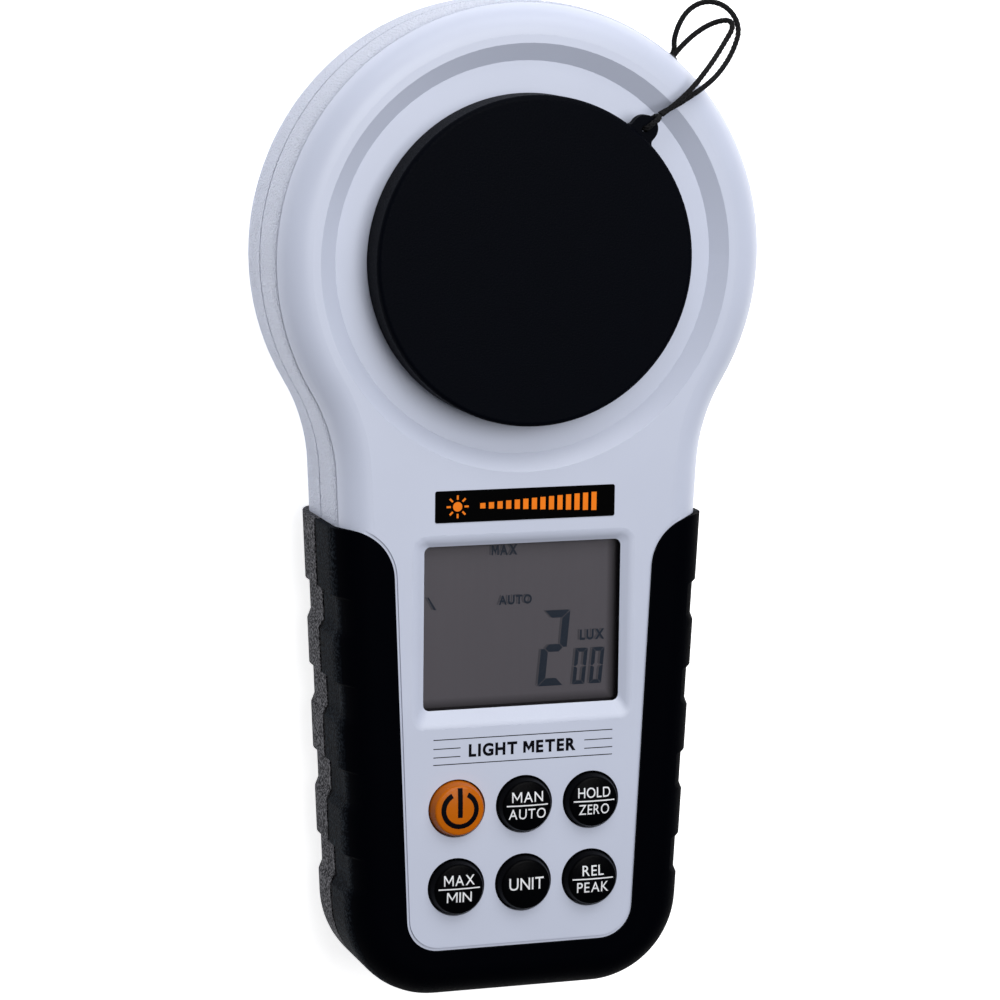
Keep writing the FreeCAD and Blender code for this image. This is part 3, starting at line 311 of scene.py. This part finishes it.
def add_piece(name, form, body, finish):
    """Links a mesh or a bmesh as a piece that rides on a body and takes its finish from a slot."""
    if isinstance(form, bmesh.types.BMesh):
        mesh = bpy.data.meshes.new(name)
        form.to_mesh(mesh)
        form.free()
    else:
        mesh = form
    mesh.materials.clear()
    mesh.materials.append(FINISHES[finish])
    piece = bpy.data.objects.new(name, mesh)
    bpy.context.scene.collection.objects.link(piece)
    if body:
        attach(piece, body)
    return piece


def flat_bmesh(outlines, thickness=2 * INK):
    """Thin plates with these outlines in the XY plane, from z 0 to thickness, as one bmesh."""
    form = bmesh.new()
    for outline in outlines:
        corners = [form.verts.new((x, y, 0)) for x, y in outline]
        face = form.faces.new(corners)
        grown = bmesh.ops.extrude_face_region(form, geom=[face])
        moved = [g for g in grown["geom"] if isinstance(g, bmesh.types.BMVert)]
        bmesh.ops.translate(form, verts=moved, vec=(0, 0, thickness))
    bmesh.ops.recalc_face_normals(form, faces=form.faces)
    return form


def bar(x_low, x_high, y_low, y_high):
    return [(x_low, y_low), (x_high, y_low), (x_high, y_high), (x_low, y_high)]


def letter_bmesh(letter, weight):
    """One raised letter as a bmesh, from the plain built-in font."""
    curve = bpy.data.curves.new("letter", "FONT")
    curve.body = letter
    curve.size = 1.0
    curve.offset = weight
    curve.extrude = 0.5
    curve.resolution_u = 6
    holder = bpy.data.objects.new("letter", curve)
    mesh = bpy.data.meshes.new_from_object(holder)
    form = bmesh.new()
    form.from_mesh(mesh)
    bmesh.ops.remove_doubles(form, verts=form.verts, dist=1e-5)
    bmesh.ops.recalc_face_normals(form, faces=form.faces)
    bpy.data.objects.remove(holder)
    bpy.data.curves.remove(curve)
    bpy.data.meshes.remove(mesh)
    return form


# Shares of the font's size.
CAPITAL = 0.70
M_WIDTH = 0.72
M_STROKE = 0.085
M_DIP = 0.22
LETTER_SPACING = 0.12
WORD_SPACE = 0.28


def letter_m(weight):
    """Capital M as one outline, because thickening the font's own closes its sharp corners."""
    stroke = M_STROKE + 2 * weight
    slope = 1.25 * stroke
    middle, low = M_WIDTH / 2, M_DIP * CAPITAL
    half = [(0, 0), (0, CAPITAL), (slope, CAPITAL), (middle, low + slope)]
    inner = [(middle, low - 0.25 * stroke), (stroke, CAPITAL - 1.5 * slope), (stroke, 0)]
    right = [(M_WIDTH - x, y) for x, y in reversed(half[:3])]
    inner_right = [(M_WIDTH - x, y) for x, y in reversed(inner[1:])]
    form = flat_bmesh([half + right + inner_right + inner], 1.0)
    bmesh.ops.triangulate(form, faces=[f for f in form.faces if len(f.verts) > 4])
    return form


def word_bmesh(words, weight):
    """Raised words as one bmesh, letter by letter."""
    cursor, forms = 0.0, []
    for letter in words:
        if letter == " ":
            cursor += WORD_SPACE
            continue
        form = letter_m(weight) if letter == "M" else letter_bmesh(letter, weight)
        low = min(v.co.x for v in form.verts)
        width = max(v.co.x for v in form.verts) - low
        middle_z = sum(v.co.z for v in form.verts) / len(form.verts)
        bmesh.ops.translate(form, verts=form.verts, vec=(cursor - low, 0, -middle_z))
        cursor += width + LETTER_SPACING
        forms.append(form)
    return joined(forms)


def fit(form, place, z):
    """Stretches a flat bmesh to the box (x low, x high, y low, y high) and sinks it half into height z."""
    low = [min(v.co[i] for v in form.verts) for i in range(3)]
    high = [max(v.co[i] for v in form.verts) for i in range(3)]
    target_low = (place[0], place[2], z - INK)
    target_high = (place[1], place[3], z + INK)
    for vert in form.verts:
        for i in range(3):
            share = (vert.co[i] - low[i]) / (high[i] - low[i])
            vert.co[i] = target_low[i] + share * (target_high[i] - target_low[i])
    return form


def joined(forms):
    """One bmesh holding all of these."""
    whole = bmesh.new()
    for form in forms:
        mesh = bpy.data.meshes.new("part")
        form.to_mesh(mesh)
        form.free()
        whole.from_mesh(mesh)
        bpy.data.meshes.remove(mesh)
    return whole


def sink(form, z):
    """Puts a flat bmesh half into the surface at height z."""
    bmesh.ops.translate(form, verts=form.verts, vec=(0, 0, z - INK))
    return form


# --- keys ------------------------------------------------------------------------------
KEY_TOP_RADIUS = 0.0045
CROWN_RISE = 0.00035
CROWN_RADIUS = (KEY_TOP_RADIUS ** 2 + CROWN_RISE ** 2) / (2 * CROWN_RISE)
CROWN_STEP = 0.0008
LEGEND_RISE = 0.0002
WORD_GAP = 0.00062
WORD_HEIGHT = 0.00195
WORD_WEIGHT = 0.004
UNIT_HEIGHT = 0.0023
DIVIDER_LENGTH = 0.0080
DIVIDER_WIDTH = 0.00024
POWER_RING = (0.00267, 0.0036)
POWER_GAP = math.radians(28)
POWER_STEM = (-0.00046, 0.00046, -0.00145, 0.0041)
LEGENDS = {
    "range_key": (("MAN", 0.0060), ("AUTO", 0.0072)),
    "hold_key": (("HOLD", 0.0063), ("ZERO", 0.0059)),
    "peak_key": (("MAX", 0.0059), ("MIN", 0.0048)),
    "unit_key": (("UNIT", 0.0067),),
    "relative_key": (("REL", 0.0042), ("PEAK", 0.0062)),
}


def key_centre(key):
    low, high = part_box(key)
    return (low.x + high.x) / 2, (low.y + high.y) / 2, high.z


def lay_on_crown(form, key):
    """Moves a legend drawn about the origin onto a key's domed top."""
    x, y, top = key_centre(key)
    for _ in range(4):
        long_edges = [e for e in form.edges if e.calc_length() > CROWN_STEP]
        bmesh.ops.subdivide_edges(form, edges=long_edges, cuts=1, use_grid_fill=True)
    for vert in form.verts:
        drop = CROWN_RADIUS - math.sqrt(CROWN_RADIUS ** 2 - vert.co.x ** 2 - vert.co.y ** 2)
        vert.co += Vector((x, y + LEGEND_RISE, top - drop))
    return form


def legend_forms(words):
    """One word across the key, or two with a divider between them."""
    if len(words) == 1:
        name, width = words[0]
        place = (-width / 2, width / 2, -UNIT_HEIGHT / 2, UNIT_HEIGHT / 2)
        return [fit(word_bmesh(name, WORD_WEIGHT), place, 0)]
    divider = bar(-DIVIDER_LENGTH / 2, DIVIDER_LENGTH / 2, -DIVIDER_WIDTH / 2, DIVIDER_WIDTH / 2)
    forms = [sink(flat_bmesh([divider]), 0)]
    for side, (name, width) in zip((1, -1), words):
        near, far = side * WORD_GAP, side * (WORD_GAP + WORD_HEIGHT)
        place = (-width / 2, width / 2, min(near, far), max(near, far))
        forms.append(fit(word_bmesh(name, WORD_WEIGHT), place, 0))
    return forms


def power_symbol():
    """Open ring with a stem in its gap."""
    ring = bmesh.new()
    inner, outer = POWER_RING
    start = math.pi / 2 + POWER_GAP
    corners = [(inner, -INK), (outer, -INK), (outer, INK), (inner, INK)]
    section = [ring.verts.new((r * math.cos(start), r * math.sin(start), z)) for r, z in corners]
    face = ring.faces.new(section)
    bmesh.ops.spin(ring, geom=[face] + list(face.edges) + section, cent=(0, 0, 0), axis=(0, 0, 1),
                   angle=2 * math.pi - 2 * POWER_GAP, steps=64, use_duplicate=False)
    bmesh.ops.remove_doubles(ring, verts=ring.verts, dist=1e-7)
    bmesh.ops.recalc_face_normals(ring, faces=ring.faces)
    stem = sink(flat_bmesh([bar(*POWER_STEM)]), 0)
    return [ring, stem]


def add_legends():
    for key, words in LEGENDS.items():
        form = lay_on_crown(joined(legend_forms(words)), key)
        add_piece(key + "_legend", form, key, "print_white")
    form = lay_on_crown(joined(power_symbol()), "power_key")
    add_piece("power_key_symbol", form, "power_key", "print_black")


# --- printing on the panel -------------------------------------------------------------
PANEL_WORDS = "LIGHT METER"
PANEL_WORDS_BOX = (-0.0104, 0.0104, HEAD_Y - 0.09155, HEAD_Y - 0.0891)
PANEL_WEIGHT = 0.04
RULE = 0.00016
RULE_X = (-0.0172, 0.0176)
SHORT_RULE_ENDS = (-0.0120, 0.0121)
LONG_RULES = (HEAD_Y - 0.0880, HEAD_Y - 0.0927)
SHORT_RULES = (HEAD_Y - 0.0897, HEAD_Y - 0.0913)


def add_panel_print():
    bars = [bar(*RULE_X, y - RULE / 2, y + RULE / 2) for y in LONG_RULES]
    for y in SHORT_RULES:
        for x_low, x_high in ((RULE_X[0], SHORT_RULE_ENDS[0]), (SHORT_RULE_ENDS[1], RULE_X[1])):
            bars.append(bar(x_low, x_high, y - RULE / 2, y + RULE / 2))
    add_piece("panel_rules", sink(flat_bmesh(bars), FACE_Z), "root", "print_black")
    words = fit(word_bmesh(PANEL_WORDS, PANEL_WEIGHT), PANEL_WORDS_BOX, FACE_Z)
    add_piece("panel_words", words, "root", "print_black")


SUN_RADIUS = 0.0021
SUN_X = PLATE_LOW.x + 0.0042
SUN_DISC = 0.42
RAY_START = 0.62
RAY_WIDTH = 0.17
RAY_COUNT = 8
BAR_START = PLATE_LOW.x + 0.0085
BAR_PITCH = 0.00165
BAR_WIDTH = 0.0010
BAR_HALF_HEIGHTS = (0.0005, 0.0017)
BAR_COUNT = 14


def sun_outlines(x, y, radius):
    """A disc and its rays."""
    disc = [(x + SUN_DISC * radius * math.cos(a), y + SUN_DISC * radius * math.sin(a))
            for a in (2 * math.pi * i / 32 for i in range(32))]
    outlines = [disc]
    for i in range(RAY_COUNT):
        angle = 2 * math.pi * i / RAY_COUNT
        along = Vector((math.cos(angle), math.sin(angle)))
        aside = Vector((-along.y, along.x)) * radius * RAY_WIDTH / 2
        near, far = along * radius * RAY_START, along * radius
        corners = (near - aside, far - aside, far + aside, near + aside)
        outlines.append([(x + p.x, y + p.y) for p in corners])
    return outlines


def add_plate_mark():
    """Plain mark on the label: a small sun and a row of bars that grow like a light scale."""
    middle = (PLATE_LOW.y + PLATE_HIGH.y) / 2
    outlines = sun_outlines(SUN_X, middle, SUN_RADIUS)
    shortest, longest = BAR_HALF_HEIGHTS
    for i in range(BAR_COUNT):
        x = BAR_START + BAR_PITCH * i
        half = shortest + (longest - shortest) * i / (BAR_COUNT - 1)
        outlines.append(bar(x, x + BAR_WIDTH, middle - half, middle + half))
    add_piece("plate_mark", sink(flat_bmesh(outlines), PLATE_HIGH.z), "root", "print_orange")


# --- display ---------------------------------------------------------------------------
SEGMENTS = {"0": "abcdef", "2": "abged", "8": "abcdefg"}
SLANT = 0.09
MITRE_GAP = 0.08
FIGURES_Y = HEAD_Y - 0.0796
BIG_X = 0.0036
BIG_PITCH = 0.0068
BIG_FIGURE = (0.0050, 0.0142, 0.0014)
SMALL_X = (0.0104, 0.0137)
SMALL_FIGURE = (0.0024, 0.0068, 0.0007)
TICK = [(-0.0176, HEAD_Y - 0.0618), (-0.0161, HEAD_Y - 0.0642), (-0.0166, HEAD_Y - 0.0642),
        (-0.0179, HEAD_Y - 0.0618)]
LCD_WORDS = (
    ("MAX", -0.0056, -0.0006, -0.0546, -0.0526),
    ("AUTO", -0.0041, 0.0023, -0.0639, -0.0621),
    ("LUX", 0.0118, 0.0166, -0.0713, -0.0693),
)
LCD_WORD_WEIGHT = 0.035
SHADOW_SHIFT = (-0.00045, 0.0001, -0.5 * INK)
UNLIT_DEPTH = 1.2 * INK


def segment_outlines(digit, x_low, y_low, width, height, stroke):
    """Seven-segment digit, leaning right, its bars mitred to each other."""
    gap = stroke * MITRE_GAP
    middle = height / 2
    upright = [(0, height - gap), (stroke, height - stroke - gap), (stroke, middle + stroke / 2 + gap),
               (stroke / 2, middle + gap), (0, middle + gap)]
    top = [(gap, height), (width - gap, height), (width - stroke - gap, height - stroke),
           (stroke + gap, height - stroke)]
    ends = [(stroke / 2 + gap, middle), (stroke + gap, middle + stroke / 2),
            (width - stroke - gap, middle + stroke / 2)]
    right = [(width - x, y) for x, y in upright]
    shapes = {
        "a": top, "d": [(x, height - y) for x, y in top],
        "g": ends + [(width - x, height - y) for x, y in ends],
        "f": upright, "e": [(x, height - y) for x, y in upright],
        "b": right, "c": [(x, height - y) for x, y in right],
    }
    return [[(x_low + x + SLANT * y, y_low + y) for x, y in shapes[letter]] for letter in SEGMENTS[digit]]


def display_reading():
    """Lit figures, the slanting tick and the words of the display."""
    figures = segment_outlines("2", BIG_X, FIGURES_Y, *BIG_FIGURE)
    for x in SMALL_X:
        figures += segment_outlines("0", x, FIGURES_Y, *SMALL_FIGURE)
    forms = [sink(flat_bmesh(figures + [TICK]), LCD_HIGH.z)]
    for name, x_low, x_high, y_low, y_high in LCD_WORDS:
        place = (x_low, x_high, HEAD_Y + y_low, HEAD_Y + y_high)
        forms.append(fit(word_bmesh(name, LCD_WORD_WEIGHT), place, LCD_HIGH.z))
    return joined(forms)


def add_display():
    """What the display shows: lit segments, their faint shadow on the reflector, and unlit segments."""
    add_piece("lcd_reading", display_reading(), "root", "lcd_dark")
    shadow = display_reading()
    bmesh.ops.translate(shadow, verts=shadow.verts, vec=SHADOW_SHIFT)
    add_piece("lcd_reading_shadow", shadow, "root", "lcd_shadow")
    unlit = []
    for i in (1, 2, 3):
        unlit += segment_outlines("8", BIG_X - BIG_PITCH * i, FIGURES_Y, *BIG_FIGURE)
    unlit = sink(flat_bmesh(unlit), LCD_HIGH.z - UNLIT_DEPTH)
    add_piece("lcd_unlit", unlit, "root", "lcd_ghost")


# --- tether ----------------------------------------------------------------------------
# Route points: distance from the head's axis, degrees from +X, height.
CORD_DIAMETER = 0.0011
INNER_ROUTE = (
    (0.04703, 49.9, 0.0249), (0.0481, 49.95, 0.02493), (0.0499, 49.95, 0.0253), (0.0522, 49.8, 0.0260),
    (0.0548, 49.3, 0.0272), (0.0568, 48.5, 0.0288), (0.0580, 47.5, 0.0303), (0.0572, 46.4, 0.0313),
    (0.0544, 46.1, 0.0322), (0.0501, 45.7, 0.0336), (0.0461, 45.7, 0.0350), (0.0423, 45.9, 0.0362),
    (0.0384, 46.6, 0.0367), (0.0353, 47.65, 0.03665),
)
OUTER_ROUTE = (
    (0.04703, 49.9, 0.0237), (0.04785, 49.95, 0.02372), (0.0486, 50.6, 0.02385), (0.0495, 51.8, 0.02415),
    (0.0521, 53.1, 0.0246), (0.0548, 53.6, 0.0254), (0.0573, 52.9, 0.0262), (0.0590, 51.3, 0.0270),
    (0.0598, 49.1, 0.0280), (0.0594, 46.7, 0.0290), (0.0580, 44.7, 0.0298), (0.0554, 43.6, 0.0308),
    (0.0520, 42.8, 0.0320), (0.0484, 42.6, 0.0332), (0.0450, 43.2, 0.0342), (0.0418, 44.4, 0.0351),
    (0.0387, 45.6, 0.0355), (0.0353, 47.65, 0.03545),
)
INNER_LENGTH = 0.0373
OUTER_LENGTH = 0.0460
RING_ROUTE = (
    (0.0325, 48.45, 0.0375), (0.0315, 48.8, 0.0375), (0.0313, 48.9, 0.0360), (0.0315, 48.8, 0.0345),
    (0.0329, 48.35, 0.0345), (0.0345, 47.85, 0.0345), (0.0348, 47.8, 0.0360), (0.0345, 47.85, 0.0375),
    (0.0329, 48.35, 0.0376), (0.0322, 48.7, 0.0376),
)

# Yarns each way round, and sizes as shares of the cord's diameter.
CARRIERS = 4
YARN = 0.165
YARN_LIFT = 0.045
LAY_PITCH = 3.4
CORE = 0.3


def around_head(distance, degrees, height):
    angle = math.radians(degrees)
    return Vector((distance * math.cos(angle), HEAD_Y + distance * math.sin(angle), height))


def route_line(route):
    """Points along the smooth NURBS line that a tether route gives."""
    curve = bpy.data.curves.new("route", "CURVE")
    curve.dimensions = "3D"
    curve.resolution_u = 16
    spline = curve.splines.new("NURBS")
    spline.points.add(len(route) - 1)
    for point, place in zip(spline.points, route):
        point.co = (*around_head(*place), 1)
    spline.order_u = 3
    spline.use_endpoint_u = True
    holder = bpy.data.objects.new("route", curve)
    mesh = bpy.data.meshes.new_from_object(holder)
    line = [vert.co.copy() for vert in mesh.vertices]
    bpy.data.objects.remove(holder)
    bpy.data.curves.remove(curve)
    bpy.data.meshes.remove(mesh)
    return line


def travelling_frames(line):
    """(point, sideways, upwards, length so far) along a line, turning no more than the line does."""
    tangents = [(b - a).normalized() for a, b in zip(line, line[1:])]
    tangents.append(tangents[-1])
    side = tangents[0].orthogonal().normalized()
    done, frames = 0.0, []
    for i, point in enumerate(line):
        if i:
            done += (point - line[i - 1]).length
            side = tangents[i - 1].rotation_difference(tangents[i]) @ side
        side = (side - tangents[i] * side.dot(tangents[i])).normalized()
        frames.append((point, side, tangents[i].cross(side), done))
    return frames


def yarn_path(frames, way, carrier, middle, lift, pitch):
    """One yarn's line round the cord, passing over and under those that turn the other way."""
    path = []
    for point, side, up, done in frames:
        turn = 2 * math.pi * done / pitch
        angle = way * turn + 2 * math.pi * carrier / CARRIERS
        reach = middle + way * lift * math.cos(CARRIERS * turn)
        path.append(point + (side * math.cos(angle) + up * math.sin(angle)) * reach)
    return path


def braid_mesh(name, line, diameter):
    """Round braid of eight yarns over a core, along a line."""
    yarn, lift, pitch, core = (diameter * share for share in (YARN, YARN_LIFT, LAY_PITCH, CORE))
    middle = diameter / 2 - yarn - lift
    frames = travelling_frames(line)
    paths = [(yarn_path(frames, way, carrier, middle, lift, pitch), yarn)
             for way in (1, -1) for carrier in range(CARRIERS)]
    paths.append((line, core))
    curve = bpy.data.curves.new(name, "CURVE")
    curve.dimensions = "3D"
    curve.bevel_depth = yarn
    curve.bevel_resolution = 1
    curve.use_fill_caps = True
    for path, radius in paths:
        spline = curve.splines.new("POLY")
        spline.points.add(len(path) - 1)
        for point, place in zip(spline.points, path):
            point.co = (*place, 1)
            point.radius = radius / yarn
    holder = bpy.data.objects.new(name, curve)
    mesh = bpy.data.meshes.new_from_object(holder)
    mesh.name = name
    bpy.data.objects.remove(holder)
    bpy.data.curves.remove(curve)
    mesh.shade_smooth()
    return mesh


def add_tether():
    knot = add_piece("cap_knot", braid_mesh("cap_knot", route_line(RING_ROUTE), CORD_DIAMETER),
                     "sensor_cap", "tether_cord")
    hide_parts("cap_cord_knot")
    for name, route, length in (("inner", INNER_ROUTE, INNER_LENGTH), ("outer", OUTER_ROUTE, OUTER_LENGTH)):
        line = route_line(route)
        mesh = braid_mesh(name + "_strand", line, CORD_DIAMETER)
        strand = add_piece(name + "_strand", mesh, None, "tether_cord")
        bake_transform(strand)
        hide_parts("cap_cord_" + name)


# --- floor, light and camera -----------------------------------------------------------
FLOOR_Z = -0.0001
FLOOR_HALF_SIDE = 6
LIGHT_TARGET = (0, 0, 0.02)


def add_floor():
    form = bmesh.new()
    place = Matrix.Translation((0, 0, FLOOR_Z))
    bmesh.ops.create_grid(form, x_segments=1, y_segments=1, size=FLOOR_HALF_SIDE, matrix=place)
    mesh = bpy.data.meshes.new("floor")
    form.to_mesh(mesh)
    form.free()
    finish = Finish("floor", (0.93, 0.93, 0.94), 0.9, specular=0.1)
    finish.shader.inputs["Emission Color"].default_value = (1, 1, 1, 1)
    finish.shader.inputs["Emission Strength"].default_value = 0.8
    mesh.materials.append(finish.made)
    floor = bpy.data.objects.new("floor", mesh)
    bpy.context.scene.collection.objects.link(floor)


def add_light(name, place, size, power):
    """Rectangular soft light aimed at the meter."""
    light = bpy.data.lights.new(name, "AREA")
    light.shape = "RECTANGLE"
    light.size, light.size_y = size
    light.energy = power
    holder = bpy.data.objects.new(name, light)
    aim = Vector(LIGHT_TARGET) - Vector(place)
    holder.matrix_world = Matrix.Translation(place) @ aim.to_track_quat("-Z", "Y").to_matrix().to_4x4()
    bpy.context.scene.collection.objects.link(holder)


def add_lights():
    add_light("light_head", (0.20, 0.95, 0.70), (1.2, 0.6), 6.5)
    add_light("light_above", (0.15, 0.30, 1.1), (0.7, 0.7), 9)
    world = bpy.data.worlds.new("studio")
    world.use_nodes = True
    backdrop = world.node_tree.nodes["Background"]
    backdrop.inputs["Color"].default_value = (0.93, 0.95, 1.0, 1)
    backdrop.inputs["Strength"].default_value = 0.10
    bpy.context.scene.world = world


CAMERA_PLACE = (-0.2197, 0.1160, 0.6809)
CAMERA_TURN = (-9.723, -18.230, 0.687)
CAMERA_LENS = 136.8


def add_camera():
    camera = bpy.data.cameras.new("camera")
    camera.lens = CAMERA_LENS
    camera.sensor_width = 36
    holder = bpy.data.objects.new("camera", camera)
    holder.location = CAMERA_PLACE
    holder.rotation_euler = [math.radians(a) for a in CAMERA_TURN]
    bpy.context.scene.collection.objects.link(holder)
    bpy.context.scene.camera = holder


def set_picture():
    scene = bpy.context.scene
    scene.view_settings.view_transform = "Standard"
    scene.cycles.use_denoising = True


finish_frame()
add_camera()
add_floor()
add_lights()
set_picture()
add_tether()
add_legends()
add_panel_print()
add_plate_mark()
add_display()
